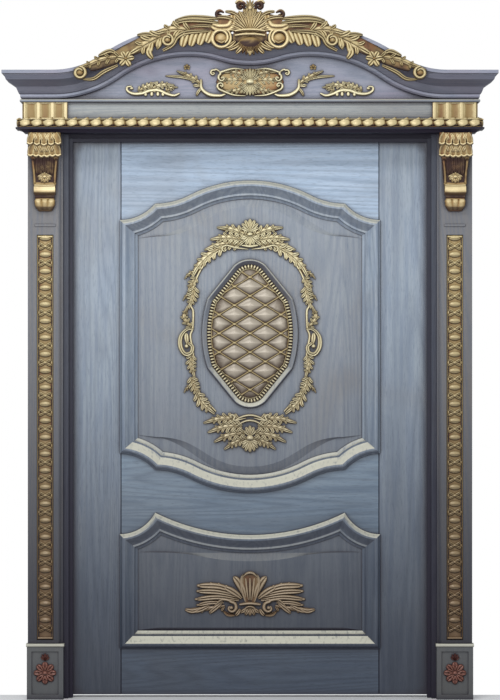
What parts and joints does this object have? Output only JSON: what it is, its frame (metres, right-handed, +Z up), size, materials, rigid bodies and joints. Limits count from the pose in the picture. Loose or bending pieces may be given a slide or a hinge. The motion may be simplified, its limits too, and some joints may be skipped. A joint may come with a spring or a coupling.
{
  "type": "panelled door with frame",
  "caption": "Single panelled door leaf hung in jambs with carved and gilded pilasters, corbels, header and curved pediment.",
  "frame": {"origin": "floor level, in the middle of the door's width and depth", "axes": "+X to the right seen from the carved front, +Y away from the viewer into the wall, +Z up"},
  "size_m": [1.77, 0.319, 2.513],
  "materials": {
    "blue_grey_oak": "open-grained oak stained blue-grey, satin",
    "antique_gilding": "antique gold leaf over a dark red ground, worn in the hollows",
    "copper_gilding": "aged red-brown copper leaf",
    "silver_lilac_cushions": "pale silver-lilac lacquer",
    "hinge_brass": "satin brass"
  },
  "bodies": {
    "frame": {"bed_moulding": "blue_grey_oak", "corbel_left": "antique_gilding", "corbel_right": "antique_gilding", "cornice": "blue_grey_oak", "crest_shell": "antique_gilding", "crest_spray_left": "antique_gilding", "crest_spray_right": "antique_gilding", "frieze_block_left": "antique_gilding", "frieze_block_right": "antique_gilding", "frieze_box": "blue_grey_oak", "frieze_cap": "blue_grey_oak", "header_soffit": "blue_grey_oak", "hinge_frame_plate_bottom": "hinge_brass", "hinge_frame_plate_middle": "hinge_brass", "hinge_frame_plate_top": "hinge_brass", "hinge_frame_screws": "hinge_brass", "hinge_pins": "hinge_brass", "jamb_head": "blue_grey_oak", "jamb_hinge_side": "blue_grey_oak", "jamb_lock_side": "blue_grey_oak", "pilaster_carving_left": "antique_gilding", "pilaster_carving_right": "antique_gilding", "pilaster_left": "blue_grey_oak", "pilaster_right": "blue_grey_oak", "plinth_cap_left": "blue_grey_oak", "plinth_cap_right": "blue_grey_oak", "plinth_left": "blue_grey_oak", "plinth_right": "blue_grey_oak", "plinth_rosette_left": "copper_gilding", "plinth_rosette_right": "copper_gilding", "rope_moulding": "antique_gilding", "stop_head": "blue_grey_oak", "stop_hinge_side": "blue_grey_oak", "stop_lock_side": "blue_grey_oak", "tympanum_board": "blue_grey_oak", "tympanum_cartouche": "antique_gilding", "tympanum_sprig_left": "antique_gilding", "tympanum_sprig_right": "antique_gilding"},
    "leaf": {"bottom_rail": "blue_grey_oak", "hinge_door_plate_bottom": "hinge_brass", "hinge_door_plate_middle": "hinge_brass", "hinge_door_plate_top": "hinge_brass", "hinge_door_screws": "hinge_brass", "lower_panel": "blue_grey_oak", "lower_panel_moulding": "blue_grey_oak", "lower_panel_moulding_back": "blue_grey_oak", "lower_panel_ornament": "antique_gilding", "medallion_border": "antique_gilding", "medallion_ground": "silver_lilac_cushions", "medallion_lattice": "antique_gilding", "medallion_ring": "blue_grey_oak", "middle_rail": "blue_grey_oak", "stile_hinge_side": "blue_grey_oak", "stile_lock_side": "blue_grey_oak", "top_rail": "blue_grey_oak", "upper_panel": "blue_grey_oak", "upper_panel_moulding": "blue_grey_oak", "upper_panel_moulding_back": "blue_grey_oak", "wreath_carving": "antique_gilding"}
  },
  "joints": [
    {"name": "leaf_swing", "type": "hinge", "parent": "frame", "child": "leaf", "pos_m": [-0.6535, 0.143, 1.014], "axis": [0, 0, 1], "range_deg": [0, 110]}
  ]
}
